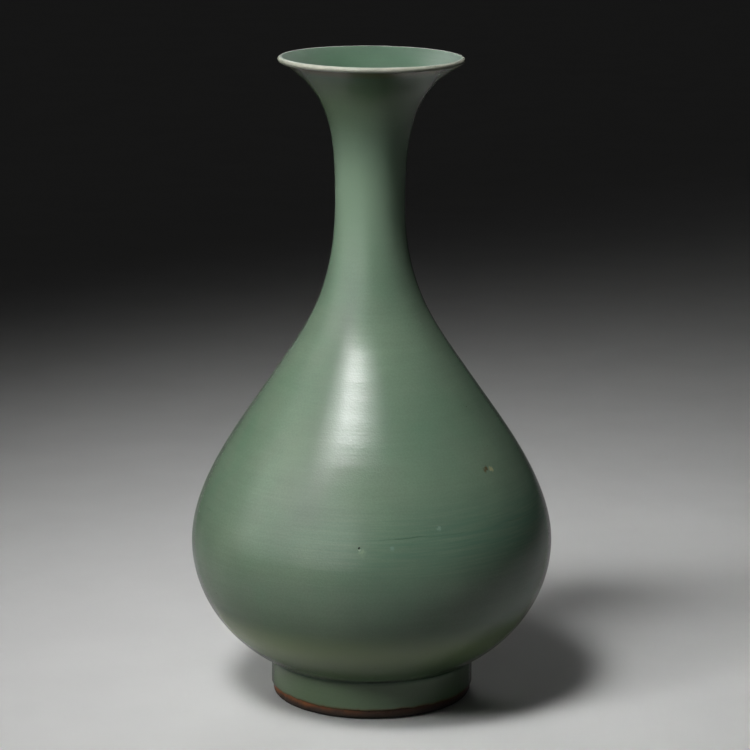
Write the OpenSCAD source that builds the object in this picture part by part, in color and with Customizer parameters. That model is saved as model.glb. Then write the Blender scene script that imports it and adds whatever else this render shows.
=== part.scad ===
// Pear-shaped bottle vase with a trumpet mouth: thrown in sections, luted together with slip and coated with
// a thick celadon glaze. Millimetres, +Z up. The origin is on the axis, in the plane that the foot stands on.

/* [Form] */
// Height from the foot to the top of the lip
height = 320; // [295:1:360]
// Diameter across the lip
lip_d = 90.6; // [78:0.2:110]
// Angle of the mouth at the lip, above the horizontal
lip_flare = 28.5; // [20:0.5:45]
// Diameter of the neck at its narrowest
neck_d = 34.4; // [30:0.2:44]
// Height of the narrowest point of the neck
neck_z = 248.5; // [236:0.5:262]
// Diameter where the hollow of the neck turns into the swell of the shoulder
shoulder_d = 95.8; // [86:0.2:106]
// Height of that turn
shoulder_z = 164; // [156:0.5:176]
// Steepness of the wall at that turn, above the horizontal
shoulder_slope = 56; // [48:1:64]
// Largest diameter of the belly
belly_d = 179.4; // [164:0.2:198]
// Height of the largest diameter
belly_z = 79; // [72:0.5:88]
// Diameter of the foot
foot_d = 100.8; // [84:0.2:116]
// Height of the corner between the foot and the belly
foot_h = 19.2; // [15:0.2:26]
// Rise of the belly out of that corner, above the horizontal
foot_slope = 26; // [16:1:36]

/* [Fullness of the curve] */
// Reach of the lip's flare down into the mouth
lip_reach = 26.5; // [18:0.5:36]
// Reach of the upright neck upwards from its narrowest point
neck_up = 37; // [25:0.5:50]
// Reach of the upright neck downwards from its narrowest point
neck_down = 42.5; // [30:0.5:50]
// Reach of the shoulder's slope upwards from its turn
shoulder_up = 28; // [18:0.5:36]
// Reach of the shoulder's slope downwards from its turn
shoulder_down = 32; // [20:0.5:40]
// Reach of the belly's upright wall upwards from the widest line
belly_up = 28.5; // [20:0.5:38]
// Reach of the belly's upright wall downwards from the widest line
belly_down = 27.5; // [20:0.5:38]
// Reach of the rise out of the foot's corner
foot_reach = 22; // [12:0.5:30]

/* [Clay] */
// Thickness of the clay at the lip
lip_wall = 2.2; // [1.6:0.1:4]
// Thickness of the clay at the narrowest point of the neck
neck_wall = 4.4; // [3:0.1:7]
// Thickness of the clay at the widest line of the belly
belly_wall = 5.8; // [4:0.1:9]
// Thickness of the clay where the belly meets the foot
heel_wall = 7; // [5:0.1:10]
// Thickness of the clay in the middle of the base
base_t = 9; // [7:0.2:12]

/* [Foot ring] */
// Width of the ring where it is luted to the body
ring_w = 9; // [6:0.2:14]
// Lean of the ring's inner wall outwards, from the base to the rim
ring_draft = 1; // [0:0.1:2]
// Rounding of the rim's outer edge
rim_round = 2.4; // [0.6:0.1:3]
// Bevel of the rim's inner edge
rim_bevel = 1.2; // [0.4:0.1:2]

/* [Luting] */
// Thickness of the slip between two sections
slip_t = 0.8; // [0.4:0.1:1.6]
// Height of the belly's seam on the outside
belly_seam_z = 104; // [94:1:125]
// Height of the seam at the root of the neck on the outside
neck_seam_z = 212; // [196:1:226]
// Rise of a bevelled seam from the outside of the wall to the inside
seam_bevel = 2; // [0:0.1:4]
// Height of the bead of slip that is squeezed out inside a seam
bead_h = 1.2; // [0.4:0.1:2]
// Reach of that bead above and below the seam
bead_reach = 2.6; // [1.6:0.1:4]

/* [Glaze] */
// Thickness of the glaze on the outside
outer_glaze_t = 0.9; // [0.5:0.05:1.5]
// Thickness of the glaze on the inside
inner_glaze_t = 0.5; // [0.3:0.05:1]
// Thickness of the glaze on the lip, where it runs thin
lip_glaze_t = 0.3; // [0.15:0.05:0.6]
// Thickness of the glaze under the base
base_glaze_t = 0.6; // [0.3:0.05:1]
// Height below the lip over which the glaze runs thin
thinning_h = 12; // [6:1:24]
// Radius of the glaze that pools in the corner above the foot
pool_r = 1.5; // [0.6:0.1:3]
// Radius of the glaze that pools in the corner under the base
recess_pool_r = 2; // [0.6:0.1:4]
// Height of the bare clay on the foot's outside, above the rounded edge
bare_outside = 2.2; // [0.5:0.1:6]
// Height of the bare clay on the foot's inside, above the bevelled edge
bare_inside = 3; // [0.5:0.1:6]

/* [Hidden] */

$fn = 180;
curve_steps = 32;
arc_steps = 12;
bead_steps = 6;

clay_colour = "#b7afa2";
burnt_colour = "#8a5c3e";
slip_colour = "#a39b8e";
celadon_colour = "#7f9b88";
pale_colour = "#c9cdbf";

function along(angle) = [cos(angle), sin(angle)];

function reversed(line) = [for (i = [len(line) - 1 : -1 : 0]) line[i]];

function arc(centre, radius, from, to) =
    [for (i = [0 : arc_steps]) centre + radius * along(from + (to - from) * i / arc_steps)];

function bezier(a, b, c, d, t) =
    pow(1 - t, 3) * a + 3 * t * pow(1 - t, 2) * b + 3 * t * t * (1 - t) * c + pow(t, 3) * d;

function bezier_heading(a, b, c, d, t) =
    pow(1 - t, 2) * (b - a) + 2 * t * (1 - t) * (c - b) + t * t * (d - c);

// The lip is a round edge that touches both the full height and the full mouth diameter
lip_r = lip_wall / 2 + lip_glaze_t;
lip_centre = [lip_d / 2 - lip_r, height - lip_r];
lip_end = lip_centre + lip_r * along(lip_flare - 90);

// The glaze fills the foot's corner with a fillet, and the belly's curve starts where that fillet ends
pool_length = pool_r / tan((90 + foot_slope) / 2);
foot_corner = [foot_d / 2, foot_h];
heel_end = foot_corner + pool_length * along(foot_slope);

// Each knot of the outline: place, heading, reach of the curve before it and reach of the curve after it
knots = [
    [heel_end, foot_slope, 0, foot_reach],
    [[belly_d / 2, belly_z], 90, belly_down, belly_up],
    [[shoulder_d / 2, shoulder_z], 180 - shoulder_slope, shoulder_down, shoulder_up],
    [[neck_d / 2, neck_z], 90, neck_down, neck_up],
    [lip_end, lip_flare, lip_reach, 0]
];

function outline_sample(a, d, t) =
    let (
        b = a[0] + a[3] * along(a[1]),
        c = d[0] - d[2] * along(d[1]),
        heading = bezier_heading(a[0], b, c, d[0], t)
    )
    [bezier(a[0], b, c, d[0], t), [heading.y, -heading.x] / norm(heading)];

// Points of the glazed outside from the foot to the lip, each with its outward normal
outline = [
    for (k = [0 : len(knots) - 2], i = [min(k, 1) : curve_steps])
        outline_sample(knots[k], knots[k + 1], i / curve_steps)
];

function thinning(full, z) = lookup(z, [[height - thinning_h, full], [lip_end.y, lip_glaze_t]]);

function clay_wall(z) =
    lookup(z, [[heel_end.y, heel_wall], [belly_z, belly_wall], [neck_z, neck_wall], [lip_end.y, lip_wall]]);

function skin_depth(z) = thinning(outer_glaze_t, z);
function bore_depth(z) = skin_depth(z) + clay_wall(z);
function lining_depth(z) = bore_depth(z) + thinning(inner_glaze_t, z);

// Outside of the glaze, outside of the clay, inside of the clay and inside of the inner glaze
coat_line = [for (s = outline) s[0]];
skin_line = [for (s = outline) s[0] - skin_depth(s[0].y) * s[1]];
bore_line = [for (s = outline) s[0] - bore_depth(s[0].y) * s[1]];
lining_line = [for (s = outline) s[0] - lining_depth(s[0].y) * s[1]];
line_end = len(outline) - 1;

function radius_at(line, z) = lookup(z, [for (p = line) [p.y, p.x]]);

function point_at(line, z) = [radius_at(line, z), z];

// Stretch of a line between two heights, from the lower to the upper
function stretch(line, low, high) =
    concat([point_at(line, low)], [for (p = line) if (p.y > low && p.y < high) p], [point_at(line, high)]);

// The foot ring's top and the body above it meet on a cone that carries on the belly's rise
ring_r = foot_d / 2 - outer_glaze_t;
recess_r = ring_r - ring_w;
slip_drop = slip_t / cos(foot_slope);

function seat_z(r) = skin_line[0].y + (r - skin_line[0].x) * tan(foot_slope);

base_z = seat_z(recess_r);
floor_z = base_z + base_t;
recess_wall = [[recess_r + ring_draft, rim_bevel], [recess_r, base_z - slip_drop]];

// Inside of the base, from the axis to the foot of a wall line
function floor_line(line, z) =
    let (reach = line[0].x / 3)
    [
        for (i = [0 : arc_steps])
            bezier([0, z], [reach, z], line[0] - reach * along(foot_slope), line[0], i / arc_steps)
    ];

half_slip = slip_t / 2;
seams = [belly_seam_z + seam_bevel, neck_seam_z + seam_bevel];

// Inner bead of a seam over a wall line, from its lower edge to its upper edge
function bead(line, z) =
    [
        for (i = [-bead_steps : bead_steps])
            point_at(line, z + bead_reach * i / bead_steps)
                - [bead_h * (1 + cos(180 * i / bead_steps)) / 2, 0]
    ];

// A wall line from its foot to the lip, with the beads of both seams standing out of it
function beaded(line) =
    concat(
        [for (p = line) if (p.y < seams[0] - bead_reach) p],
        bead(line, seams[0]),
        [for (p = line) if (p.y > seams[0] + bead_reach && p.y < seams[1] - bead_reach) p],
        bead(line, seams[1]),
        [for (p = line) if (p.y > seams[1] + bead_reach) p]
    );

// Section of clay wall between two heights on its outside, with bevelled rims
function wall_section(low, high) =
    concat(
        stretch(skin_line, low, high),
        reversed(stretch(bore_line, low + seam_bevel, high + seam_bevel))
    );

module revolved(points) {
    rotate_extrude() polygon(points);
}

// Ring of slip in a bevelled seam, with the bead that it leaves inside
module seam_ring(z) {
    inside_z = z + seam_bevel;
    revolved(concat(
        stretch(skin_line, z - half_slip, z + half_slip),
        stretch(bore_line, inside_z + half_slip, inside_z + bead_reach),
        reversed(bead(bore_line, inside_z)),
        stretch(bore_line, inside_z - bead_reach, inside_z - half_slip)
    ));
}

// Turned ring that the vase stands on, round outside and bevelled inside at the rim
module foot_ring() {
    rim_centre = [ring_r - rim_round, rim_round];
    color(burnt_colour)
        revolved(concat(
            [[ring_r, seat_z(ring_r) - slip_drop]],
            reversed(arc(rim_centre, rim_round, -90, 0)),
            [[recess_wall[0].x + rim_bevel, 0]],
            recess_wall
        ));
}

// Thrown bowl with the base, up to the belly's seam
module lower_body() {
    color(clay_colour)
        revolved(concat(
            [[0, base_z], [recess_r, base_z]],
            stretch(skin_line, skin_line[0].y, belly_seam_z - half_slip),
            reversed(stretch(bore_line, bore_line[0].y, seams[0] - half_slip)),
            reversed(floor_line(bore_line, floor_z))
        ));
}

// Thrown shoulder, from the belly's seam to the root of the neck
module upper_body() {
    color(clay_colour)
        revolved(wall_section(belly_seam_z + half_slip, neck_seam_z - half_slip));
}

// Thrown neck with its trumpet mouth and round lip
module neck() {
    color(clay_colour)
        revolved(concat(
            stretch(skin_line, neck_seam_z + half_slip, skin_line[line_end].y),
            arc(lip_centre, lip_wall / 2, lip_flare - 90, lip_flare + 90),
            reversed(stretch(bore_line, seams[1] + half_slip, bore_line[line_end].y))
        ));
}

// Slip on the cone between the foot ring and the body
module foot_luting() {
    color(slip_colour)
        revolved([
            [recess_r, base_z - slip_drop],
            [ring_r, seat_z(ring_r) - slip_drop],
            [ring_r, seat_z(ring_r)],
            [recess_r, base_z]
        ]);
}

module belly_luting() {
    color(slip_colour) seam_ring(belly_seam_z);
}

module neck_luting() {
    color(slip_colour) seam_ring(neck_seam_z);
}

// Celadon coat from just above the foot's rim to the lip
module outer_glaze() {
    edge_z = rim_round + bare_outside;
    pool_centre = foot_corner + [pool_r, -pool_length];
    color(celadon_colour)
        revolved(concat(
            arc([ring_r, edge_z + outer_glaze_t], outer_glaze_t, -90, 0),
            arc(pool_centre, pool_r, 180, 90 + foot_slope),
            coat_line,
            reversed(skin_line),
            [[ring_r, seat_z(ring_r)]]
        ));
}

// Thin pale glaze over the round of the lip
module lip_glaze() {
    color(pale_colour)
        revolved(concat(
            arc(lip_centre, lip_r, lip_flare - 90, lip_flare + 90),
            arc(lip_centre, lip_wall / 2, lip_flare + 90, lip_flare - 90)
        ));
}

// Glaze poured over the inside, from the base to the lip
module inner_glaze() {
    color(celadon_colour)
        revolved(concat(
            floor_line(bore_line, floor_z),
            beaded(bore_line),
            reversed(beaded(lining_line)),
            reversed(floor_line(lining_line, floor_z + inner_glaze_t))
        ));
}

// Glaze under the base and down the inside of the foot ring
module base_glaze() {
    edge_z = rim_bevel + bare_inside;
    top_z = base_z - base_glaze_t;
    pool_centre = [recess_r - base_glaze_t - recess_pool_r, top_z - recess_pool_r];
    edge_r = lookup(edge_z, [for (p = recess_wall) [p.y, p.x]]);
    round_centre = [edge_r, edge_z + base_glaze_t];
    color(celadon_colour)
        revolved(concat(
            [[0, base_z], [0, top_z]],
            arc(pool_centre, recess_pool_r, 90, 0),
            arc(round_centre, base_glaze_t, 180, 270),
            [[recess_r, base_z - slip_drop], [recess_r, base_z]]
        ));
}

foot_ring();
lower_body();
upper_body();
neck();
foot_luting();
belly_luting();
neck_luting();
outer_glaze();
lip_glaze();
inner_glaze();
base_glaze();
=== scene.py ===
"""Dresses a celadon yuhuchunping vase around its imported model.

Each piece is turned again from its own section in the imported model, so it stays where the model has it, and
takes on the small unevenness that throwing, luting, dipping and firing leave. All lengths are in metres.
"""

import logging
import math
from dataclasses import dataclass, field
from enum import Enum
from typing import Any

import bmesh
import bpy
from bmesh.types import BMEdge, BMesh, BMVert
from bpy.types import Light, Material, Node, NodeSocket, NodeTree, Object
from mathutils import Matrix, Quaternion, Vector, noise


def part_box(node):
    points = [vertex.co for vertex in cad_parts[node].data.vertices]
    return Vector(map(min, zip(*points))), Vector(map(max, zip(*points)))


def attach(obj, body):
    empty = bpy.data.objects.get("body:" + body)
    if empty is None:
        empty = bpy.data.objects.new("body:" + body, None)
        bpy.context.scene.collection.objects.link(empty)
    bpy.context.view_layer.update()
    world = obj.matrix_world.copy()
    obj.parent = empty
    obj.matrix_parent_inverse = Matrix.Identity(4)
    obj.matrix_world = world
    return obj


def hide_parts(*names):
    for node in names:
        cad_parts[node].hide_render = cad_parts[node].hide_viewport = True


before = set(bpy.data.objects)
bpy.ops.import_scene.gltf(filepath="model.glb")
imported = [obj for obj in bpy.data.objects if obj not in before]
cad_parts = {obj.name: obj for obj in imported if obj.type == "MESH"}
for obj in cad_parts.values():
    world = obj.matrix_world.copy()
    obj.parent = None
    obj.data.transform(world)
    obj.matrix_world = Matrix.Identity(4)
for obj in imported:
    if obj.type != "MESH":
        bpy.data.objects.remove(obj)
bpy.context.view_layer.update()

MM = 0.001
WELD = 0.001 * MM
LEVEL = (1.0, 1.0, 0.0)
BODY = "root"
FIRED_HEIGHT = "fired_height"
FACING = "facing"
LOG = logging.getLogger("vase")

Colour = tuple[float, float, float, float]
Feed = float | tuple[float, ...] | NodeSocket


def shade(red: int, green: int, blue: int) -> Colour:
    """Turns a colour as seen on a screen into the linear colour that a shader takes.

    Args:
        red: Red part, from 0 to 255.
        green: Green part, from 0 to 255.
        blue: Blue part, from 0 to 255.

    Returns:
        The linear red, green and blue, and a full alpha.
    """
    parts = [part / 255 for part in (red, green, blue)]
    linear = [part / 12.92 if part <= 0.04045 else ((part + 0.055) / 1.055) ** 2.4 for part in parts]
    return (*linear, 1.0)


def eased(low: float, high: float, value: float) -> float:
    """Gives an even S-curve from one level to another.

    Args:
        low: Where the curve leaves 0.
        high: Where the curve reaches 1.
        value: Where the curve is read.

    Returns:
        A share from 0 to 1.
    """
    share = min(1.0, max(0.0, (value - low) / (high - low)))
    return share * share * (3.0 - 2.0 * share)


def turn_of(spot: Vector) -> float:
    """Angle of a point round the axis, from the front towards the right."""
    return math.atan2(spot.x, -spot.y)


@dataclass
class Wiring:
    """Places nodes in one tree and joins them."""

    tree: NodeTree

    def place(self, kind: str, feeds: dict[str | int, Feed] | None = None, **settings: Any) -> Node:
        """Adds a node, sets it and feeds its inputs.

        Args:
            kind: Type of the node.
            feeds: Inputs by name or number, with the value or the socket that feeds each.
            settings: Properties of the node itself.

        Returns:
            The new node.
        """
        node = self.tree.nodes.new(kind)
        for name, value in settings.items():
            setattr(node, name, value)
        for key, feed in (feeds or {}).items():
            self.feed(node.inputs[key], feed)
        return node

    def feed(self, socket: NodeSocket, feed: Feed) -> None:
        """Joins an input to another socket, or gives it a value.

        Args:
            socket: The input.
            feed: The other socket, or the value.
        """
        if isinstance(feed, NodeSocket):
            self.tree.links.new(feed, socket)
        else:
            socket.default_value = feed

    def sum(self, operation: str, first: Feed, second: Feed = 0.0) -> NodeSocket:
        """Works out one sum of two values."""
        return self.place("ShaderNodeMath", {0: first, 1: second}, operation=operation).outputs[0]

    def ease(self, value: Feed, low: Feed, high: Feed) -> NodeSocket:
        """Rises from 0 at low to 1 at high in an even S-curve."""
        feeds = {"Value": value, "From Min": low, "From Max": high}
        return self.place("ShaderNodeMapRange", feeds, interpolation_type="SMOOTHSTEP").outputs[0]

    def span(self, value: Feed, low: float, high: float) -> NodeSocket:
        """Stretches a value from 0 to 1 over a span."""
        return self.place("ShaderNodeMapRange", {"Value": value, "To Min": low, "To Max": high}).outputs[0]

    def blend(self, share: Feed, under: Feed, over: Feed) -> NodeSocket:
        """Lays one colour over another by a share, on the Mix node's colour sockets."""
        return self.place("ShaderNodeMix", {0: share, 6: under, 7: over}, data_type="RGBA").outputs[2]

    def place_on_piece(self) -> NodeSocket:
        """Gives the point of the piece that is being shaded."""
        return self.place("ShaderNodeTexCoord").outputs["Object"]

    def across(self) -> NodeSocket:
        """Gives how far a point is to the right of the axis."""
        return self.place("ShaderNodeSeparateXYZ", {0: self.place_on_piece()}).outputs["X"]

    def from_axis(self) -> NodeSocket:
        """Gives how far out a point is from the axis.

        Returns:
            The radius over the surface.
        """
        feeds = {0: self.place_on_piece(), 1: LEVEL}
        level = self.place("ShaderNodeVectorMath", feeds, operation="MULTIPLY").outputs[0]
        return self.place("ShaderNodeVectorMath", {0: level}, operation="LENGTH").outputs["Value"]

    def fired_height(self) -> NodeSocket:
        """Gives the height that a point had before the hand's unevenness moved it."""
        return self.place("ShaderNodeAttribute", attribute_name=FIRED_HEIGHT).outputs["Fac"]


class Effect(Enum):
    """Surface effects that more than one finish uses."""

    TURNING = "turning_lines"
    MOTTLE = "mottle"
    SPECKS = "specks"
    SPOT = "spot"
    BAND = "height_band"


@dataclass
class EffectShelf:
    """Builds each shared effect once, and places it in the finishes with their own values."""

    streak_detail: float = 2.0
    streak_contrast: tuple[float, float] = (0.3, 0.7)
    cloud_contrast: tuple[float, float] = (0.25, 0.75)
    speck_core: float = 0.4
    ragged_scale: float = 900.0
    ragged_detail: float = 2.0
    ragged_reach: float = 1.6
    trees: dict[Effect, NodeTree] = field(default_factory=dict)

    def place(self, wiring: Wiring, effect: Effect, **feeds: Feed) -> NodeSocket:
        """Places an effect in a material.

        Args:
            wiring: Nodes of the material.
            effect: Effect to place.
            feeds: Values or sockets for the effect's inputs.

        Returns:
            The effect's amount over the surface.
        """
        if effect not in self.trees:
            self.trees[effect] = getattr(self, effect.value)()
        return wiring.place("ShaderNodeGroup", feeds, node_tree=self.trees[effect]).outputs[0]

    def open_group(self, effect: Effect, **inputs: float | tuple[float, ...]) -> tuple[Wiring, Node]:
        """Starts a group with one output, Amount.

        Args:
            effect: Effect that the group makes.
            inputs: Names of the inputs with their values.

        Returns:
            The nodes of the group, and the node that holds its inputs.
        """
        tree = bpy.data.node_groups.new(effect.value, "ShaderNodeTree")
        tree.interface.new_socket("Amount", in_out="OUTPUT", socket_type="NodeSocketFloat")
        for name, value in inputs.items():
            kind = "NodeSocketFloat" if isinstance(value, float) else "NodeSocketVector"
            tree.interface.new_socket(name, in_out="INPUT", socket_type=kind).default_value = value
        wiring = Wiring(tree)
        return wiring, wiring.place("NodeGroupInput")

    def close_group(self, wiring: Wiring, amount: NodeSocket) -> NodeTree:
        """Sends the amount out of the group."""
        wiring.place("NodeGroupOutput", {"Amount": amount})
        return wiring.tree

    def turning_lines(self) -> NodeTree:
        """Builds the fine level streaks that a turning tool leaves.

        Returns:
            The group, with the lines' pitch and the length that a streak runs.
        """
        wiring, given = self.open_group(Effect.TURNING, Pitch=1.2 * MM, Run=60 * MM)
        along = wiring.sum("DIVIDE", 1.0, given.outputs["Run"])
        up = wiring.sum("DIVIDE", 1.0, given.outputs["Pitch"])
        scale = wiring.place("ShaderNodeCombineXYZ", {"X": along, "Y": along, "Z": up}).outputs[0]
        feeds = {0: wiring.place_on_piece(), 1: scale}
        stretched = wiring.place("ShaderNodeVectorMath", feeds, operation="MULTIPLY").outputs[0]
        feeds = {"Vector": stretched, "Scale": 1.0, "Detail": self.streak_detail}
        streaks = wiring.place("ShaderNodeTexNoise", feeds)
        return self.close_group(wiring, wiring.ease(streaks.outputs["Fac"], *self.streak_contrast))

    def mottle(self) -> NodeTree:
        """Builds cloudy patches, which at a small size are a grain.

        Returns:
            The group, with the patches' size and how finely they break up.
        """
        wiring, given = self.open_group(Effect.MOTTLE, Size=30 * MM, Break=2.0)
        scale = wiring.sum("DIVIDE", 1.0, given.outputs["Size"])
        feeds = {"Vector": wiring.place_on_piece(), "Scale": scale, "Detail": given.outputs["Break"]}
        clouds = wiring.place("ShaderNodeTexNoise", feeds)
        return self.close_group(wiring, wiring.ease(clouds.outputs["Fac"], *self.cloud_contrast))

    def specks(self) -> NodeTree:
        """Builds small scattered specks.

        Returns:
            The group, with the specks' spacing, size and the share of places that has one.
        """
        wiring, given = self.open_group(Effect.SPECKS, Spacing=12 * MM, Size=0.5 * MM, Share=0.5)
        scale = wiring.sum("DIVIDE", 1.0, given.outputs["Spacing"])
        cells = wiring.place("ShaderNodeTexVoronoi", {"Vector": wiring.place_on_piece(), "Scale": scale})
        away = wiring.sum("MULTIPLY", cells.outputs["Distance"], given.outputs["Spacing"])
        core = wiring.sum("MULTIPLY", given.outputs["Size"], self.speck_core)
        dot = wiring.ease(away, given.outputs["Size"], core)
        chance = wiring.place("ShaderNodeSeparateColor", {0: cells.outputs["Color"]}).outputs["Red"]
        chosen = wiring.sum("LESS_THAN", chance, given.outputs["Share"])
        return self.close_group(wiring, wiring.sum("MULTIPLY", dot, chosen))

    def spot(self) -> NodeTree:
        """Builds one spot with a ragged edge.

        Returns:
            The group, with the spot's place, its radius and the width of its edge.
        """
        wiring, given = self.open_group(Effect.SPOT, Place=(0.0, 0.0, 0.0), Radius=1 * MM, Edge=0.5 * MM)
        here = wiring.place_on_piece()
        feeds = {0: here, 1: given.outputs["Place"]}
        away = wiring.place("ShaderNodeVectorMath", feeds, operation="DISTANCE").outputs["Value"]
        feeds = {"Vector": here, "Scale": self.ragged_scale, "Detail": self.ragged_detail}
        ragged = wiring.place("ShaderNodeTexNoise", feeds).outputs["Fac"]
        outer = wiring.sum("ADD", given.outputs["Radius"], given.outputs["Edge"])
        reach = wiring.sum("MULTIPLY", outer, self.ragged_reach)
        stray = wiring.sum("MULTIPLY", wiring.sum("SUBTRACT", ragged, 0.5), reach)
        amount = wiring.ease(wiring.sum("ADD", away, stray), outer, given.outputs["Radius"])
        return self.close_group(wiring, amount)

    def height_band(self) -> NodeTree:
        """Builds a soft level band.

        Returns:
            The group, with the height that is read, the band's middle and how far it reaches.
        """
        wiring, given = self.open_group(Effect.BAND, Height=0.0, Middle=0.0, Reach=10 * MM)
        off = wiring.sum("SUBTRACT", given.outputs["Height"], given.outputs["Middle"])
        return self.close_group(wiring, wiring.ease(wiring.sum("ABSOLUTE", off), given.outputs["Reach"], 0.0))


@dataclass(frozen=True)
class Mottle:
    """Cloudy patches by their size and how finely they break up; at a small size they are a grain."""

    size: float
    breaks: float

    def lay(self, wiring: Wiring, shelf: EffectShelf) -> NodeSocket:
        """Places the patches in a material."""
        return shelf.place(wiring, Effect.MOTTLE, Size=self.size, Break=self.breaks)


@dataclass(frozen=True)
class Turning:
    """Level streaks by their pitch and the length that each one runs."""

    pitch: float
    run: float

    def lay(self, wiring: Wiring, shelf: EffectShelf) -> NodeSocket:
        """Places the streaks in a material."""
        return shelf.place(wiring, Effect.TURNING, Pitch=self.pitch, Run=self.run)


@dataclass(frozen=True)
class Specks:
    """Scattered specks by their spacing, their size and the share of places that has one."""

    spacing: float
    size: float
    chance: float

    def lay(self, wiring: Wiring, shelf: EffectShelf) -> NodeSocket:
        """Places the specks in a material."""
        return shelf.place(wiring, Effect.SPECKS, Spacing=self.spacing, Size=self.size, Share=self.chance)


@dataclass(frozen=True)
class Band:
    """A soft level band by the height of its middle and how far it reaches."""

    middle: float
    reach: float

    def lay(self, wiring: Wiring, shelf: EffectShelf, height: NodeSocket) -> NodeSocket:
        """Places the band in a material."""
        return shelf.place(wiring, Effect.BAND, Height=height, Middle=self.middle, Reach=self.reach)


@dataclass(frozen=True)
class Mark:
    """A small fault in the glaze, by its angle from the front and its height."""

    turn: float
    height: float
    radius: float
    edge: float
    colour: Colour
    pit: float = 0.0

    def place(self) -> Vector:
        """Finds the mark's place on the outside of the coat.

        Returns:
            The point where a line from outside, level with the mark, meets the coat.
        """
        turn = math.radians(self.turn)
        outward = Vector((math.sin(turn), -math.cos(turn), 0.0))
        far = outward + Vector((0.0, 0.0, self.height))
        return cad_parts["outer_glaze"].ray_cast(far, -outward)[1]

    def lay(self, wiring: Wiring, shelf: EffectShelf) -> NodeSocket:
        """Places the mark's spot in a material."""
        return shelf.place(wiring, Effect.SPOT, Place=self.place(), Radius=self.radius, Edge=self.edge)


@dataclass(frozen=True)
class Finish:
    """A fired surface: its name, its slot in the record and how dull it is."""

    name: str
    slot: str
    roughness: float

    def material(self, shelf: EffectShelf) -> Material:
        """Makes the material.

        Args:
            shelf: Shared effects.

        Returns:
            The material, with its own colour, dullness and relief.
        """
        material = bpy.data.materials.new(self.name)
        material.use_nodes = True
        wiring = Wiring(material.node_tree)
        self.paint(wiring, shelf, material.node_tree.nodes["Principled BSDF"])
        return material

    def paint(self, wiring: Wiring, shelf: EffectShelf, shader: Node) -> None:
        """Feeds the shader.

        Args:
            wiring: Nodes of the material.
            shelf: Shared effects.
            shader: The material's Principled shader.
        """
        raise NotImplementedError

    def emboss(self, wiring: Wiring, shader: Node, *layers: tuple[NodeSocket, float]) -> None:
        """Gives the surface a fine relief.

        Args:
            wiring: Nodes of the material.
            shader: The material's Principled shader.
            layers: Each layer's pattern, from 0 to 1, with the height that it stands.
        """
        relief: Feed = 0.0
        for pattern, height in layers:
            relief = wiring.sum("ADD", relief, wiring.sum("MULTIPLY", pattern, height))
        bump = wiring.place("ShaderNodeBump", {"Strength": 1.0, "Distance": 1.0, "Height": relief})
        wiring.feed(shader.inputs["Normal"], bump.outputs["Normal"])


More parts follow.
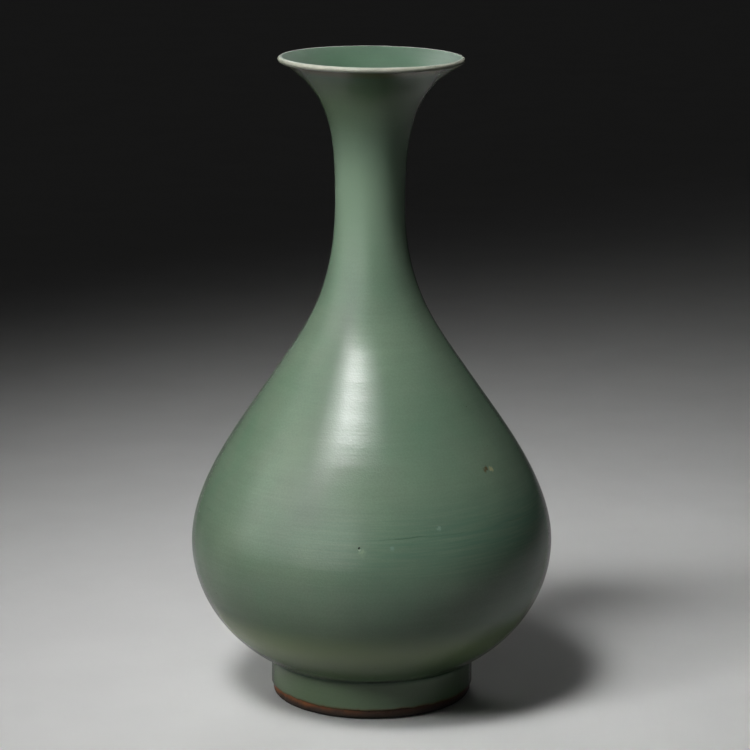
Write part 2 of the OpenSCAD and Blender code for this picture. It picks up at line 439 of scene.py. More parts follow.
@dataclass(frozen=True)
class Celadon(Finish):
    """Thick grey-green glaze, fired to a satin gloss like jade."""

    thin: Colour = shade(124, 143, 121)
    thick: Colour = shade(104, 129, 107)
    grey: Colour = shade(115, 128, 111)
    iron: Colour = shade(60, 62, 46)
    pooled: Colour = shade(52, 78, 58)
    # Paler neck colour: painted light on the slim neck.
    neck: Colour = shade(130, 152, 129)
    # Olive tint: partly the glaze's own warmer tone, partly painted shade at the heel and under the flare.
    olive: Colour = shade(100, 122, 80)
    # Paler heel colour: painted light, as if bounced up from the floor.
    heel: Colour = shade(146, 165, 117)
    cool: Colour = shade(88, 120, 102)
    edge: Colour = shade(120, 116, 82)
    hem: Colour = shade(112, 96, 66)
    clouds: Mottle = Mottle(45 * MM, 3.0)
    blots: Mottle = Mottle(14 * MM, 2.0)
    grain: Mottle = Mottle(0.8 * MM, 1.0)
    lines: Turning = Turning(0.9 * MM, 28 * MM)
    streaks: Turning = Turning(0.6 * MM, 3.5 * MM)
    bands: Turning = Turning(2.6 * MM, 70 * MM)
    specks: Specks = Specks(11 * MM, 0.45 * MM, 0.5)
    blot_share: float = 0.45
    grain_share: float = 0.12
    line_share: float = 0.03
    band_share: float = 0.055
    speck_share: float = 0.7
    olive_shade_share: float = 0.6
    # Band where painted light pales the neck.
    neck_light_zone: Band = Band(256 * MM, 58 * MM)
    # Band of painted floor-bounce light on the heel.
    heel_glow_zone: Band = Band(40 * MM, 16 * MM)
    # Spans of the olive tint, partly painted shade, at the heel and the flare.
    heel_shade_span: tuple[float, float] = (75 * MM, 28 * MM)
    flare_shade_span: tuple[float, float] = (276 * MM, 305 * MM)
    cool_zone: Band = Band(98 * MM, 26 * MM)
    cool_side: tuple[float, float] = (-80 * MM, 40 * MM)
    cool_lines: tuple[float, float] = (0.1, 0.6)
    cool_share: float = 0.25
    seam_zone: Band = Band(101.9 * MM, 0.4 * MM)
    seam_waves: Mottle = Mottle(20 * MM, 2.0)
    seam_wander: float = 0.7 * MM
    seam_start: tuple[float, float] = (9 * MM, 12 * MM)
    seam_end: tuple[float, float] = (30 * MM, 20 * MM)
    seam_clear: float = 0.55
    seam_gaps: Mottle = Mottle(18 * MM, 2.0)
    seam_gap_span: tuple[float, float] = (0.45, 0.8)
    seam_faint: float = 0.22
    groove_zone: Band = Band(19.6 * MM, 2.6 * MM)
    lip_height: float = 317 * MM
    lip_fade: float = 4 * MM
    hem_height: float = 4.6 * MM
    hem_fade: float = 2 * MM
    grain_relief: float = 0.021 * MM
    streak_relief: float = 0.006 * MM
    line_relief: float = 0.008 * MM
    cloud_dulling: tuple[float, float] = (-0.02, 0.03)
    line_dulling: float = 0.03
    gloss: float = 0.5
    marks: tuple[Mark, ...] = ()

    def paint(self, wiring: Wiring, shelf: EffectShelf, shader: Node) -> None:
        """Feeds the shader.

        Args:
            wiring: Nodes of the material.
            shelf: Shared effects.
            shader: The material's Principled shader.
        """
        height = wiring.fired_height()
        clouds = self.clouds.lay(wiring, shelf)
        lines = self.lines.lay(wiring, shelf)
        grain = self.grain.lay(wiring, shelf)
        streaks = self.streaks.lay(wiring, shelf)
        colour = wiring.blend(clouds, self.thin, self.thick)
        layers = (
            (self.blots.lay(wiring, shelf), self.blot_share, self.grey),
            (grain, self.grain_share, self.iron),
            (lines, self.line_share, self.iron),
            (self.bands.lay(wiring, shelf), self.band_share, self.pooled),
        )
        for pattern, share, over in layers:
            colour = wiring.blend(wiring.span(pattern, 0.0, share), colour, over)
        colour = self.zones(wiring, shelf, height, colour)
        colour = self.cool_band(wiring, shelf, height, lines, colour)
        colour = self.seam(wiring, shelf, height, colour)
        colour = self.edges(wiring, shelf, height, colour)
        specks = wiring.sum("MULTIPLY", self.specks.lay(wiring, shelf), self.speck_share)
        colour = wiring.blend(specks, colour, self.iron)
        for mark in self.marks:
            colour = wiring.blend(mark.lay(wiring, shelf), colour, mark.colour)
        wiring.feed(shader.inputs["Base Color"], colour)
        shader.inputs["Specular IOR Level"].default_value = self.gloss
        dull_lines = wiring.span(lines, 0.0, self.line_dulling)
        dull = wiring.sum("ADD", wiring.span(clouds, *self.cloud_dulling), dull_lines)
        wiring.feed(shader.inputs["Roughness"], wiring.sum("ADD", dull, self.roughness))
        relief = ((grain, self.grain_relief), (streaks, self.streak_relief), (lines, self.line_relief))
        self.emboss(wiring, shader, *relief)

    def zones(self, wiring: Wiring, shelf: EffectShelf, height: NodeSocket, colour: NodeSocket) -> NodeSocket:
        """Paints light on the slim neck, an olive tint at the heel and the flare that is partly the glaze's
        own tone and partly painted shade, and painted floor-bounce light on the heel.

        Args:
            wiring: Nodes of the material.
            shelf: Shared effects.
            height: Height over the surface.
            colour: Colour so far.

        Returns:
            The colour with its zones.
        """
        # Painted light: a paler band round the neck.
        colour = wiring.blend(self.neck_light_zone.lay(wiring, shelf, height), colour, self.neck)
        # Olive tint at the heel and the flare: partly the glaze's own tone, partly painted shade.
        heel = wiring.ease(height, *self.heel_shade_span)
        flare = wiring.ease(height, *self.flare_shade_span)
        ends = wiring.sum("MULTIPLY", wiring.sum("MAXIMUM", heel, flare), self.olive_shade_share)
        colour = wiring.blend(ends, colour, self.olive)
        # Painted light: a paler heel, as if lit by light bounced off the floor.
        return wiring.blend(self.heel_glow_zone.lay(wiring, shelf, height), colour, self.heel)

    def cool_band(self, wiring: Wiring, shelf: EffectShelf, height: NodeSocket, lines: NodeSocket,
                  colour: NodeSocket) -> NodeSocket:
        """Cools the colour in streaks round the luted seam of the belly.

        Args:
            wiring: Nodes of the material.
            shelf: Shared effects.
            height: Height over the surface.
            lines: Turning lines over the surface.
            colour: Colour so far.

        Returns:
            The colour with its cooler band.
        """
        band = self.cool_zone.lay(wiring, shelf, height)
        side = wiring.ease(wiring.across(), *self.cool_side)
        streaked = wiring.sum("MULTIPLY", band, wiring.span(lines, *self.cool_lines))
        share = wiring.sum("MULTIPLY", side, wiring.sum("ADD", streaked, self.cool_share))
        return wiring.blend(share, colour, self.cool)

    def seam(self, wiring: Wiring, shelf: EffectShelf, height: NodeSocket, colour: NodeSocket) -> NodeSocket:
        """Draws the broken line that shows through the glaze over the luted seam.

        Args:
            wiring: Nodes of the material.
            shelf: Shared effects.
            height: Height over the surface.
            colour: Colour so far.

        Returns:
            The colour with the line.
        """
        waves = wiring.span(self.seam_waves.lay(wiring, shelf), -self.seam_wander, self.seam_wander)
        line = self.seam_zone.lay(wiring, shelf, wiring.sum("ADD", height, waves))
        across = wiring.across()
        starts = wiring.ease(across, *self.seam_start)
        clear = wiring.sum("MULTIPLY", starts, wiring.ease(across, *self.seam_end))
        faint = wiring.ease(self.seam_gaps.lay(wiring, shelf), *self.seam_gap_span)
        clear_share = wiring.sum("MULTIPLY", clear, self.seam_clear)
        shows = wiring.sum("MAXIMUM", clear_share, wiring.sum("MULTIPLY", faint, self.seam_faint))
        return wiring.blend(wiring.sum("MULTIPLY", line, shows), colour, self.pooled)

    def edges(self, wiring: Wiring, shelf: EffectShelf, height: NodeSocket, colour: NodeSocket) -> NodeSocket:
        """Thins the glaze under the lip and at its lower edge, and pools it in the groove of the foot.

        Args:
            wiring: Nodes of the material.
            shelf: Shared effects.
            height: Height over the surface.
            colour: Colour so far.

        Returns:
            The colour with its edges.
        """
        colour = wiring.blend(self.groove_zone.lay(wiring, shelf, height), colour, self.pooled)
        top = wiring.ease(height, self.lip_height - self.lip_fade, self.lip_height)
        colour = wiring.blend(top, colour, self.edge)
        hem = wiring.ease(height, self.hem_height + self.hem_fade, self.hem_height)
        return wiring.blend(hem, colour, self.hem)


@dataclass(frozen=True)
class PaleGlaze(Finish):
    """The same glaze where it has run thin over the lip and the white clay shows."""

    thin: Colour = shade(172, 172, 158)
    thick: Colour = shade(150, 156, 140)
    inner: Colour = shade(98, 116, 98)
    inner_radius: float = 43.6 * MM
    outer_radius: float = 44.7 * MM
    clouds: Mottle = Mottle(7 * MM, 3.0)
    grain: Mottle = Mottle(0.8 * MM, 1.0)
    grain_relief: float = 0.006 * MM
    dulling: float = 0.06
    gloss: float = 0.25

    def paint(self, wiring: Wiring, shelf: EffectShelf, shader: Node) -> None:
        """Feeds the shader.

        Args:
            wiring: Nodes of the material.
            shelf: Shared effects.
            shader: The material's Principled shader.
        """
        clouds = self.clouds.lay(wiring, shelf)
        inside = wiring.ease(wiring.from_axis(), self.outer_radius, self.inner_radius)
        colour = wiring.blend(clouds, self.thin, self.thick)
        colour = wiring.blend(inside, colour, self.inner)
        wiring.feed(shader.inputs["Base Color"], colour)
        shader.inputs["Specular IOR Level"].default_value = self.gloss
        dull = wiring.span(clouds, self.roughness, self.roughness + self.dulling)
        wiring.feed(shader.inputs["Roughness"], dull)
        self.emboss(wiring, shader, (self.grain.lay(wiring, shelf), self.grain_relief))


@dataclass(frozen=True)
class BareClay(Finish):
    """Unglazed stoneware, with grit and the streaks of turning, flashed where flame reached it; painted shade
    darkens its lowest edge and dims the flash on the right.
    """

    light: Colour = shade(168, 160, 146)
    dark: Colour = shade(140, 132, 118)
    # Colour of the iron flecks, also used for the painted shade along the bottom edge.
    fleck_and_foot_shade: Colour = shade(82, 74, 64)
    flash: Colour = shade(150, 142, 128)
    clouds: Mottle = Mottle(9 * MM, 4.0)
    grit: Mottle = Mottle(0.7 * MM, 3.0)
    lines: Turning = Turning(0.9 * MM, 30 * MM)
    flecks: Specks = Specks(2.5 * MM, 0.5 * MM, 0.6)
    line_share: float = 0.3
    fleck_share: float = 0.8
    flash_zone: Band = Band(0.0, 3 * MM)
    # The flash dims from the left side to the right: painted shade on the side away from the light.
    flash_lit_side: tuple[float, float] = (5 * MM, -42 * MM)
    flash_shade_least: float = 0.2
    # Painted shade along the foot's bottom edge, where it meets the floor.
    foot_shade_height: float = 2.6 * MM
    foot_shade_share: float = 0.8
    wander: float = 1 * MM
    dulling: tuple[float, float] = (-0.08, 0.06)
    grit_relief: float = 0.05 * MM
    line_relief: float = 0.03 * MM

    def paint(self, wiring: Wiring, shelf: EffectShelf, shader: Node) -> None:
        """Feeds the shader.

        Args:
            wiring: Nodes of the material.
            shelf: Shared effects.
            shader: The material's Principled shader.
        """
        clouds = self.clouds.lay(wiring, shelf)
        lines = self.lines.lay(wiring, shelf)
        grit = self.grit.lay(wiring, shelf)
        colour = wiring.blend(clouds, self.light, self.dark)
        colour = wiring.blend(wiring.span(lines, 0.0, self.line_share), colour, self.dark)
        colour = self.burn(wiring, shelf, clouds, colour)
        wiring.feed(shader.inputs["Base Color"], colour)
        least, most = (self.roughness + change for change in self.dulling)
        wiring.feed(shader.inputs["Roughness"], wiring.span(grit, least, most))
        self.emboss(wiring, shader, (grit, self.grit_relief), (lines, self.line_relief))

    def burn(self, wiring: Wiring, shelf: EffectShelf, clouds: NodeSocket, colour: NodeSocket) -> NodeSocket:
        """Flashes the clay orange near the glaze, weaker on the right as painted shade, and darkens it with
        painted shade along the bottom and with iron flecks.

        Args:
            wiring: Nodes of the material.
            shelf: Shared effects.
            clouds: Cloudy patches, which make the levels wander.
            colour: Colour so far.

        Returns:
            The colour as the kiln left it.
        """
        height = wiring.sum("ADD", wiring.fired_height(), wiring.span(clouds, -self.wander, self.wander))
        # Painted shade: the flash is weaker on the right.
        side = wiring.span(wiring.ease(wiring.across(), *self.flash_lit_side), self.flash_shade_least, 1.0)
        flash = wiring.sum("MULTIPLY", self.flash_zone.lay(wiring, shelf, height), side)
        colour = wiring.blend(flash, colour, self.flash)
        # Painted shade: darker towards the bottom edge, where the foot stands on the floor.
        foot_shade = wiring.sum("MULTIPLY", wiring.ease(height, self.foot_shade_height, 0.0), self.foot_shade_share)
        flecks = wiring.sum("MULTIPLY", self.flecks.lay(wiring, shelf), self.fleck_share)
        return wiring.blend(wiring.sum("MAXIMUM", foot_shade, flecks), colour, self.fleck_and_foot_shade)


@dataclass(frozen=True)
class StudioPaper(Finish):
    """The pale paper that the vase stands on, which is clear from below."""

    light: Colour = shade(213, 213, 212)
    dark: Colour = shade(209, 209, 208)
    bounce: Colour = shade(117, 117, 115)
    clouds: Mottle = Mottle(60 * MM, 4.0)
    mirrored: float = 0.6
    dulling: float = -0.03
    gloss: float = 0.0

    def paint(self, wiring: Wiring, shelf: EffectShelf, shader: Node) -> None:
        """Feeds the shader.

        Args:
            wiring: Nodes of the material.
            shelf: Shared effects.
            shader: The material's Principled shader.
        """
        clouds = self.clouds.lay(wiring, shelf)
        rays = wiring.place("ShaderNodeLightPath").outputs
        mirrored = wiring.sum("ADD", rays["Is Glossy Ray"], rays["Is Transmission Ray"])
        softer = wiring.sum("MULTIPLY", mirrored, self.mirrored)
        seen = wiring.sum("MINIMUM", wiring.sum("ADD", rays["Is Camera Ray"], softer), 1.0)
        colour = wiring.blend(seen, self.bounce, wiring.blend(clouds, self.light, self.dark))
        wiring.feed(shader.inputs["Base Color"], colour)
        shader.inputs["Specular IOR Level"].default_value = self.gloss
        dull = wiring.span(clouds, self.roughness + self.dulling, self.roughness)
        wiring.feed(shader.inputs["Roughness"], dull)
        below = wiring.place("ShaderNodeNewGeometry").outputs["Backfacing"]
        clear = wiring.place("ShaderNodeBsdfTransparent").outputs[0]
        sides = wiring.place("ShaderNodeMixShader", {0: below, 1: shader.outputs[0], 2: clear})
        wiring.feed(wiring.tree.nodes["Material Output"].inputs["Surface"], sides.outputs[0])


@dataclass(frozen=True)
class HandWarp:
    """The lean of the neck and the tilt of the mouth that firing leaves, scaled by the lip's far corner."""

    lip: Vector
    bow: float = 0.7 * MM
    bow_height: float = 235 * MM
    bow_reach: float = 85 * MM
    mouth_fall: float = 0.8 * MM
    mouth_base: float = 285 * MM

    def settle(self, spot: Vector) -> Vector:
        """Moves a point from the true turned form to where the kiln left it.

        Args:
            spot: Point of the true form.

        Returns:
            The point as fired.
        """
        away = min(1.0, abs(spot.z - self.bow_height) / self.bow_reach)
        lean = self.bow * (0.5 + 0.5 * math.cos(math.pi * away))
        rise = eased(self.mouth_base, self.lip.z, spot.z)
        fall = self.mouth_fall * rise * (0.5 + 0.5 * spot.x / self.lip.x)
        return spot - Vector((lean, 0.0, fall))


class Side(Enum):
    """The side of a piece that shows, by which way it faces from the axis."""

    OUTSIDE = 1
    INSIDE = -1
    BOTH = 0


@dataclass
class TurnedPiece:
    """A piece of revolution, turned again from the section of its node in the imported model."""

    node: str
    name: str
    finish: Finish
    warp: HandWarp
    steps: int = 192
    ring_gap: float = 4.0 * MM
    softening: int = 0
    shown: Side = Side.BOTH
    crease: float = math.radians(40)
    smoothing: float = 0.5
    doublings: int = 3

    def section(self) -> BMesh:
        """Cuts the node through its axis, after noting which way each point faces.

        Returns:
            One half of the cut, as a wire on the right of the axis.
        """
        form = bmesh.new()
        form.from_mesh(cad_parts[self.node].data)
        bmesh.ops.remove_doubles(form, verts=form.verts[:], dist=WELD)
        form.normal_update()
        facing = form.verts.layers.float.new(FACING)
        for vert in form.verts:
            vert[facing] = vert.normal.x * vert.co.x + vert.normal.y * vert.co.y
        everything = form.verts[:] + form.edges[:] + form.faces[:]
        bmesh.ops.bisect_plane(form, geom=everything, dist=WELD, plane_co=(0, 0, 0), plane_no=(0, 1, 0),
                               clear_inner=True, clear_outer=True)
        wire = form.verts[:] + form.edges[:]
        bmesh.ops.bisect_plane(form, geom=wire, dist=WELD, plane_co=(0, 0, 0), plane_no=(1, 0, 0),
                               clear_inner=True)
        return form

    def refine(self, form: BMesh) -> None:
        """Adds rings along the side that shows, and eases the section's facets into a curve.

        Args:
            form: The section.
        """
        facing = form.verts.layers.float[FACING]
        long_edges: dict[int, list[BMEdge]] = {}
        for edge in form.edges:
            shows = all(vert[facing] * self.shown.value >= 0.0 for vert in edge.verts)
            cuts = int(edge.calc_length() / self.ring_gap) if shows else 0
            long_edges.setdefault(cuts, []).append(edge)
        for cuts in sorted(set(long_edges) - {0}):
            bmesh.ops.subdivide_edges(form, edges=long_edges[cuts], cuts=cuts)
        soft = [vert for vert in form.verts if vert.is_wire and len(vert.link_edges) == 2]
        soft = [vert for vert in soft if vert.calc_edge_angle(math.pi) < self.crease]
        for _ in range(self.softening):
            bmesh.ops.smooth_vert(form, verts=soft, factor=self.smoothing, use_axis_x=True, use_axis_z=True)

    def turn(self, form: BMesh) -> None:
        """Spins the section through a part of a turn, and doubles that part until it goes all the way round.

        Args:
            form: The section, which becomes a closed skin.
        """
        parts = 2 ** self.doublings
        angle = math.tau / parts
        bmesh.ops.spin(form, geom=form.verts[:] + form.edges[:], cent=(0, 0, 0), axis=(0, 0, 1),
                       dvec=(0, 0, 0), angle=angle, steps=self.steps // parts)
        for doubling in range(self.doublings):
            part_so_far = form.verts[:] + form.edges[:] + form.faces[:]
            made = bmesh.ops.duplicate(form, geom=part_so_far)["geom"]
            verts = [part for part in made if isinstance(part, BMVert)]
            onward = Matrix.Rotation(angle * 2 ** doubling, 3, "Z")
            bmesh.ops.rotate(form, verts=verts, cent=(0, 0, 0), matrix=onward)
        bmesh.ops.remove_doubles(form, verts=form.verts[:], dist=WELD)
        bmesh.ops.recalc_face_normals(form, faces=form.faces[:])

    def detail(self, form: BMesh) -> None:
        """Adds faces where the piece has small faults; a plain piece has none."""

    def depth(self, spot: Vector, facing: Vector) -> float:
        """Tells how deep the hand's marks go in at a point; a plain piece has none."""
        return 0.0

    def drift(self, spot: Vector) -> Vector:
        """Tells how far a point has run in the firing; on a plain piece it stays."""
        return Vector()

    def shape(self, form: BMesh) -> None:
        """Moves the skin from the true form to the fired one, and notes each point's height before that.

        Args:
            form: The skin.
        """
        form.normal_update()
        height = form.verts.layers.float.new(FIRED_HEIGHT)
        for vert in form.verts:
            spot = vert.co.copy()
            vert[height] = spot.z
            worked = spot - vert.normal * self.depth(spot, vert.normal) + self.drift(spot)
            vert.co = self.warp.settle(worked)

    def make(self, shelf: EffectShelf) -> Object:
        """Builds the piece, dresses it and sets it in the frame.

        Args:
            shelf: Shared effects.

        Returns:
            The finished piece.
        """
        form = self.section()
        self.refine(form)
        self.turn(form)
        self.detail(form)
        self.shape(form)
        for face in form.faces:
            face.smooth = True
        for edge in form.edges:
            edge.smooth = edge.calc_face_angle(0.0) < self.crease
        mesh = bpy.data.meshes.new(self.name)
        form.to_mesh(mesh)
        form.free()
        mesh.materials.append(self.finish.material(shelf))
        piece = bpy.data.objects.new(self.name, mesh)
        bpy.context.scene.collection.objects.link(piece)
        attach(piece, BODY)
        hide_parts(self.node)
        LOG.info("%s: %d faces", self.name, len(mesh.polygons))
        return piece


@dataclass
class GlazeCoat(TurnedPiece):
    """The thick coat outside, with throwing rings, pits and an uneven lower edge."""

    ring_pitch: float = 9.0 * MM
    ring_depth: float = 0.025 * MM
    swell_size: float = 40.0 * MM
    swell_depth: float = 0.16 * MM
    thin_height: float = 318.0 * MM
    full_height: float = 300.0 * MM
    hem_height: float = 4.6 * MM
    hem_reach: float = 13.0 * MM
    hem_waves: tuple[tuple[float, float], ...] = ((0.6 * MM, 2.6), (0.5 * MM, 9.0), (0.3 * MM, 26.0))
    hem_high: float = 0.5 * MM
    hem_high_turn: float = math.radians(-62)
    hem_high_power: int = 6
    marks: tuple[Mark, ...] = ()
    mark_reach: float = 3.0 * MM
    mark_cuts: int = 9
    pit_floor: float = 0.3
    pits: dict[Mark, Vector] = field(default_factory=dict)

    def detail(self, form: BMesh) -> None:
        """Finds each pit's place and adds faces round it.

        Args:
            form: The skin.
        """
        form.normal_update()
        self.pits = {mark: mark.place() for mark in self.marks if mark.pit > 0.0}
        for place in self.pits.values():
            near = [vert for vert in form.verts if (vert.co - place).length < self.mark_reach]
            outside = {vert for vert in near if vert.normal.dot(place) > 0.0}
            edges = {edge for vert in outside for edge in vert.link_edges if edge.other_vert(vert) in outside}
            bmesh.ops.subdivide_edges(form, edges=list(edges), cuts=self.mark_cuts, use_grid_fill=True)

    def depth(self, spot: Vector, facing: Vector) -> float:
        """Tells how deep the throwing rings, the glaze's swells and its pits go in at a point.

        Args:
            spot: Point of the true form.
            facing: Direction that the skin faces there.

        Returns:
            The depth, which is 0 on the side that the clay hides.
        """
        if facing.x * spot.x + facing.y * spot.y <= 0.0:
            return 0.0
        ring = 0.5 + 0.5 * math.sin(math.tau * spot.z / self.ring_pitch + turn_of(spot))
        swell = 0.5 + 0.5 * noise.noise(spot / self.swell_size)
        full = 1.0 - eased(self.full_height, self.thin_height, spot.z)
        depth = full * (self.ring_depth * ring + self.swell_depth * swell)
        for mark, place in self.pits.items():
            away = (spot - place).length
            depth += mark.pit * (1.0 - eased(self.pit_floor * mark.radius, mark.radius, away))
        return depth

    def drift(self, spot: Vector) -> Vector:
        """Lifts the glaze's lower edge unevenly above the rim of the foot.

        Args:
            spot: Point of the true form.

        Returns:
            The lift, which fades out up the wall of the foot.
        """
        share = 1.0 - eased(self.hem_height, self.hem_reach, spot.z)
        turn = turn_of(spot)
        around = Vector((math.sin(turn), math.cos(turn), 0.0))
        wave = sum(height * noise.noise(around * waves) for height, waves in self.hem_waves)
        high = max(0.0, math.cos(turn - self.hem_high_turn)) ** self.hem_high_power
        return Vector((0.0, 0.0, share * (wave + self.hem_high * high)))


@dataclass
class Lining(TurnedPiece):
    """The glaze poured over the inside, which shows the rings of throwing."""

    ring_pitch: float = 10.0 * MM
    ring_depth: float = 0.12 * MM

    def depth(self, spot: Vector, facing: Vector) -> float:
        """Tells how deep the throwing rings go in at a point.

        Args:
            spot: Point of the true form.
            facing: Direction that the skin faces there.

        Returns:
            The depth, which is 0 on the side that the clay hides.
        """
        if facing.x * spot.x + facing.y * spot.y >= 0.0:
            return 0.0
        return self.ring_depth * (0.5 + 0.5 * math.sin(math.tau * spot.z / self.ring_pitch + turn_of(spot)))


@dataclass
class BaseGlaze(TurnedPiece):
    """The glaze under the base, over the spiral that the turning tool left."""

    ring_pitch: float = 5.0 * MM
    ring_depth: float = 0.15 * MM
    fade: float = 3.0 * MM
    least_down: float = 0.5

    def depth(self, spot: Vector, facing: Vector) -> float:
        """Tells how deep the turning spiral goes in at a point.

        Args:
            spot: Point of the true form.
            facing: Direction that the skin faces there.

        Returns:
            The depth, which is 0 where the skin doesn't face down.
        """
        if facing.z >= -self.least_down:
            return 0.0
        out = math.hypot(spot.x, spot.y)
        ring = 0.5 + 0.5 * math.sin(math.tau * out / self.ring_pitch - turn_of(spot))
        return self.ring_depth * ring * eased(0.0, self.fade, out)


@dataclass
class FootRing(TurnedPiece):
    """The turned ring that the vase stands on, bare and gritty at its rim."""

    bare_height: float = 9.0 * MM
    fade_start: float = 4.5 * MM
    rim_height: float = 1.0 * MM
    grit_size: float = 1.6 * MM
    grit_depth: float = 0.16 * MM
    chip_size: float = 6.0 * MM
    chip_depth: float = 1.1 * MM
    chip_level: float = 0.34

    def depth(self, spot: Vector, facing: Vector) -> float:
        """Tells how deep the grit and the chips go in at a point.

        Args:
            spot: Point of the true form.
            facing: Direction that the skin faces there.

        Returns:
            The depth, which fades out above the bare rim.
        """
        bare = 1.0 - eased(self.fade_start, self.bare_height, spot.z)
        grit = self.grit_depth * (0.5 + 0.5 * noise.noise(spot / self.grit_size))
        chip = self.chip_depth * max(0.0, noise.noise(spot / self.chip_size) - self.chip_level)
        return bare * (grit * eased(0.0, self.rim_height, spot.z) + chip)


@dataclass
class Vase:
    """The whole vase: clay sections, slip seams, foot ring and the coats of glaze."""

    warp: HandWarp
    marks: tuple[Mark, ...]
    sections: tuple[str, ...] = ("lower_body", "upper_body", "neck")
    seams: tuple[str, ...] = ("foot_luting", "belly_luting", "neck_luting")
    above_lip: float = 330 * MM
    no_groove: Band = Band(-1.0, 1 * MM)

    def pieces(self) -> list[TurnedPiece]:
        """Lists the pieces from the foot up, with the clay before the glaze.

        Returns:
            The pieces, ready to be made.
        """
        clay = BareClay("fired_clay", "clay", roughness=0.85)
        slip = BareClay("fired_slip", "slip", roughness=0.8, light=shade(158, 148, 132),
                        dark=shade(132, 122, 106))
        burnt = BareClay("burnt_clay", "burnt_clay", roughness=0.82, light=shade(70, 50, 36),
                         dark=shade(43, 33, 27), fleck_and_foot_shade=shade(28, 22, 18), flash=shade(142, 84, 38),
                         flash_zone=Band(5.0 * MM, 3.2 * MM))
        coat = Celadon("celadon_coat", "celadon", roughness=0.17, marks=self.marks)
        # The lining's colours are darker than the outer coat's: painted shade inside the mouth.
        inside = Celadon("celadon_lining_shaded", "celadon", roughness=0.5, thin=shade(76, 104, 82),
                         thick=shade(68, 96, 75), grey=shade(84, 108, 88), olive_shade_share=0.0,
                         lip_height=self.above_lip, gloss=0.2)
        under = Celadon("celadon_base", "celadon", roughness=0.24, groove_zone=self.no_groove)
        pale = PaleGlaze("pale_lip", "pale_glaze", roughness=0.32)
        thrown = [TurnedPiece(node, node + "_thrown", clay, self.warp) for node in self.sections]
        luted = [TurnedPiece(node, node + "_slip", slip, self.warp) for node in self.seams]
        return thrown + luted + [
            FootRing("foot_ring", "foot_ring_bare", burnt, self.warp, steps=360, ring_gap=0.8 * MM),
            BaseGlaze("base_glaze", "base_glaze_turned", under, self.warp, steps=128, ring_gap=1.2 * MM,
                      softening=1),
            Lining("inner_glaze", "inner_glaze_poured", inside, self.warp, steps=160, ring_gap=2.0 * MM,
                   softening=2, shown=Side.INSIDE),
            GlazeCoat("outer_glaze", "outer_glaze_dipped", coat, self.warp, steps=192, ring_gap=1.5 * MM,
                      softening=3, shown=Side.OUTSIDE, marks=self.marks),
            TurnedPiece("lip_glaze", "lip_glaze_thin", pale, self.warp, steps=192, ring_gap=0.4 * MM,
                        softening=2),
        ]


@dataclass(frozen=True)
class Softbox:
    """A soft rectangular lamp that faces the vase."""

    name: str
    turn: float
    rise: float
    away: float
    width: float
    length: float
    radiance: float
    rim: float
    roll: float = 0.0
    beam: float = 56.0
    core: tuple[float, float] = (0.12, 0.12)
    fade: tuple[float, float] = (0.5, 0.5)
    glossy: bool = True
    diffuse: bool = True
    lift: float = 0.0

    def hang(self, aim: Vector) -> None:
        """Hangs the lamp in the scene.

        Args:
            aim: Point that the lamp faces.
        """
        lamp = bpy.data.lights.new(self.name, "AREA")
        self.soften(lamp)
        lamp.shape = "RECTANGLE"
        lamp.size = self.width
        lamp.size_y = self.length
        half = math.radians(self.beam) / 2
        lamp.spread = 2 * half
        # A narrow beam packs the lamp's power into less room, so the power comes down to keep the radiance.
        narrowing = 1.0 - half / math.tan(half)
        lamp.energy = self.radiance * math.pi * self.width * self.length * narrowing
        turn, rise = math.radians(self.turn), math.radians(self.rise)
        level = math.cos(rise)
        back = Vector((math.sin(turn) * level, -math.cos(turn) * level, math.sin(rise)))
        holder = bpy.data.objects.new(self.name, lamp)
        holder.location = aim + Vector((0.0, 0.0, self.lift)) + back * self.away
        holder.visible_glossy = self.glossy
        holder.visible_diffuse = self.diffuse
        roll = Quaternion((0.0, 0.0, 1.0), math.radians(self.roll))
        holder.rotation_euler = (back.to_track_quat("Z", "Y") @ roll).to_euler()
        bpy.context.scene.collection.objects.link(holder)

    def soften(self, lamp: Light) -> None:
        """Makes the cloth of the softbox dimmer towards its rim.

        Args:
            lamp: The lamp behind the cloth.
        """
        lamp.use_nodes = True
        wiring = Wiring(lamp.node_tree)
        cloth = wiring.place("ShaderNodeNewGeometry").outputs["Parametric"]
        split = wiring.place("ShaderNodeSeparateXYZ", {0: cloth})
        offsets = [wiring.sum("SUBTRACT", split.outputs[axis], 0.5) for axis in ("X", "Y")]
        sides = [wiring.sum("ABSOLUTE", offset) for offset in offsets]
        edges = [wiring.ease(side, fade, core) for side, fade, core in zip(sides, self.fade, self.core)]
        glow = wiring.span(wiring.sum("MULTIPLY", *edges), self.rim, 1.0)
        wiring.feed(lamp.node_tree.nodes["Emission"].inputs["Strength"], glow)


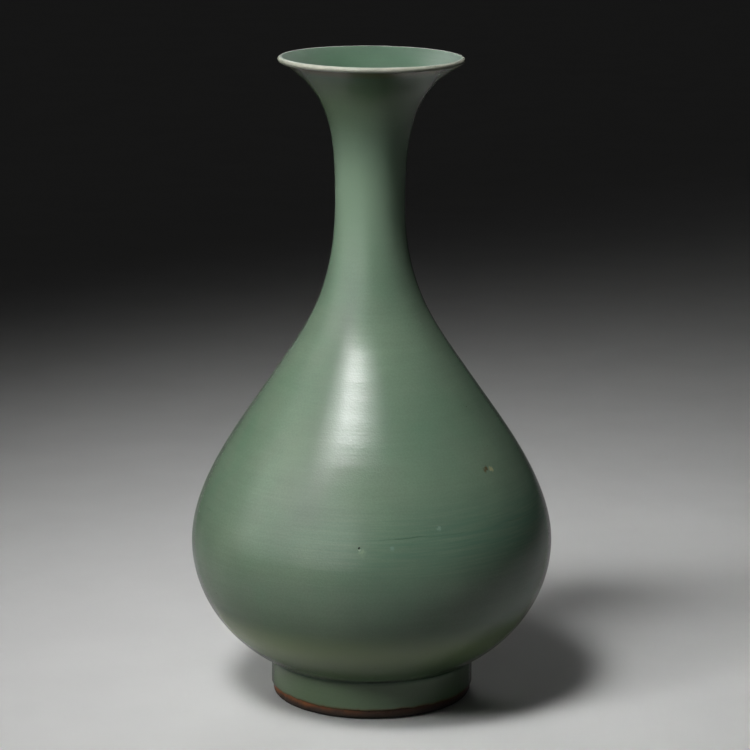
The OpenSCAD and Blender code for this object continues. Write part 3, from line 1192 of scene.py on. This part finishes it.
@dataclass
class Studio:
    """The pale floor, the soft light and the camera."""

    floor_reach: float = 30.0
    floor_drop: float = 0.2 * MM
    floor_hole: float = 46.5 * MM
    floor_sides: int = 64
    camera_place: tuple[float, float, float] = (1.7 * MM, -1.484, 0.499)
    camera_pitch: float = 0.2233
    camera_lens: float = 148.0
    camera_sensor: float = 36.0
    fill: float = 0.012
    aim: tuple[float, float, float] = (0.0, 0.0, 0.16)
    lamps: tuple[Softbox, ...] = (
        Softbox("key_softbox", turn=-29.0, rise=58.5, away=1.4, width=1.08, length=0.47, radiance=25.0,
                rim=0.18, roll=24.0, beam=170.0, core=(0.1, 0.2), fade=(0.34, 0.42), diffuse=False),
        Softbox("key_lamp", turn=-35.0, rise=60.0, away=1.4, width=0.6, length=0.6, radiance=48.0, rim=0.0,
                beam=47.0, glossy=False),
        Softbox("side_lamp", turn=-51.0, rise=34.0, away=1.5, width=0.6, length=0.6, radiance=31.0, rim=0.0,
                beam=47.0, glossy=False),
        Softbox("neck_lamp", turn=6.0, rise=32.0, away=1.5, width=0.3, length=0.3, radiance=20.0, rim=0.0,
                beam=16.0, glossy=False, lift=0.11),
        Softbox("left_wall", turn=-52.0, rise=22.0, away=1.8, width=3.8, length=1.65, radiance=1.6, rim=0.5,
                beam=170.0, core=(0.25, 0.25), diffuse=False),
        Softbox("back_softbox", turn=188.0, rise=36.0, away=1.4, width=1.1, length=0.5, radiance=7.0, rim=0.2,
                beam=170.0, core=(0.1, 0.2), diffuse=False),
        Softbox("back_lamp", turn=184.0, rise=24.0, away=1.6, width=0.8, length=0.6, radiance=9.0, rim=0.0,
                beam=40.0, glossy=False),
        Softbox("base_lamp", turn=0.0, rise=-90.0, away=1.0, width=0.4, length=0.4, radiance=25.0, rim=0.0),
    )

    def lay_floor(self, shelf: EffectShelf) -> None:
        """Lays the floor just under the foot, open inside the foot ring so that light reaches the base.

        Args:
            shelf: Shared effects.
        """
        form = bmesh.new()
        bmesh.ops.create_circle(form, segments=self.floor_sides, radius=self.floor_hole)
        edge = bmesh.ops.extrude_edge_only(form, edges=form.edges[:])["geom"]
        outer = [part for part in edge if isinstance(part, BMVert)]
        reach = self.floor_reach / self.floor_hole
        bmesh.ops.scale(form, verts=outer, vec=(reach, reach, 1.0))
        bmesh.ops.translate(form, verts=form.verts[:], vec=(0.0, 0.0, -self.floor_drop))
        bmesh.ops.recalc_face_normals(form, faces=form.faces[:])
        if form.faces[:][0].normal.z < 0.0:
            bmesh.ops.reverse_faces(form, faces=form.faces[:])
        mesh = bpy.data.meshes.new("floor")
        form.to_mesh(mesh)
        form.free()
        mesh.materials.append(StudioPaper("studio_paper", "", roughness=0.9).material(shelf))
        floor = bpy.data.objects.new("floor", mesh)
        bpy.context.scene.collection.objects.link(floor)

    def light(self) -> None:
        """Hangs the lamps and sets the weak light of the room."""
        for lamp in self.lamps:
            lamp.hang(Vector(self.aim))
        world = bpy.data.worlds.new("studio")
        world.use_nodes = True
        background = world.node_tree.nodes["Background"]
        background.inputs["Color"].default_value = (1.0, 1.0, 1.0, 1.0)
        background.inputs["Strength"].default_value = self.fill
        bpy.context.scene.world = world

    def set_camera(self) -> None:
        """Sets the camera where the photograph was taken from."""
        camera = bpy.data.objects.new("camera", bpy.data.cameras.new("camera"))
        camera.data.lens = self.camera_lens
        camera.data.sensor_width = self.camera_sensor
        camera.location = self.camera_place
        camera.rotation_euler = (math.pi / 2 - self.camera_pitch, 0.0, 0.0)
        bpy.context.scene.collection.objects.link(camera)
        bpy.context.scene.camera = camera
        bpy.context.scene.view_settings.view_transform = "Standard"


MARKS = (
    Mark(turn=-2.9, height=96.2 * MM, radius=0.2 * MM, edge=2.6 * MM, colour=shade(120, 141, 116)),
    Mark(turn=-3.6, height=97.2 * MM, radius=0.1 * MM, edge=0.9 * MM, colour=shade(140, 160, 138)),
    Mark(turn=-3.8, height=97.9 * MM, radius=0.35 * MM, edge=0.35 * MM, colour=shade(20, 26, 20),
         pit=0.6 * MM),
    Mark(turn=51.8, height=126.0 * MM, radius=0.5 * MM, edge=1.5 * MM, colour=shade(162, 162, 124)),
    Mark(turn=49.3, height=126.8 * MM, radius=0.4 * MM, edge=1.3 * MM, colour=shade(92, 82, 56),
         pit=0.2 * MM),
    Mark(turn=48.2, height=126.2 * MM, radius=0.3 * MM, edge=1.3 * MM, colour=shade(96, 90, 62)),
    Mark(turn=22.5, height=105.2 * MM, radius=0.1 * MM, edge=1.6 * MM, colour=shade(124, 148, 132)),
    Mark(turn=6.5, height=97.6 * MM, radius=0.1 * MM, edge=1.5 * MM, colour=shade(114, 140, 126)),
)


def main() -> None:
    """Builds the vase and its studio."""
    logging.basicConfig(level=logging.INFO, format="%(name)s: %(message)s")
    shelf = EffectShelf()
    vase = Vase(HandWarp(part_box("lip_glaze")[1]), MARKS)
    for piece in vase.pieces():
        piece.make(shelf)
    studio = Studio()
    studio.lay_floor(shelf)
    studio.light()
    studio.set_camera()


if __name__ == "__main__":
    main()
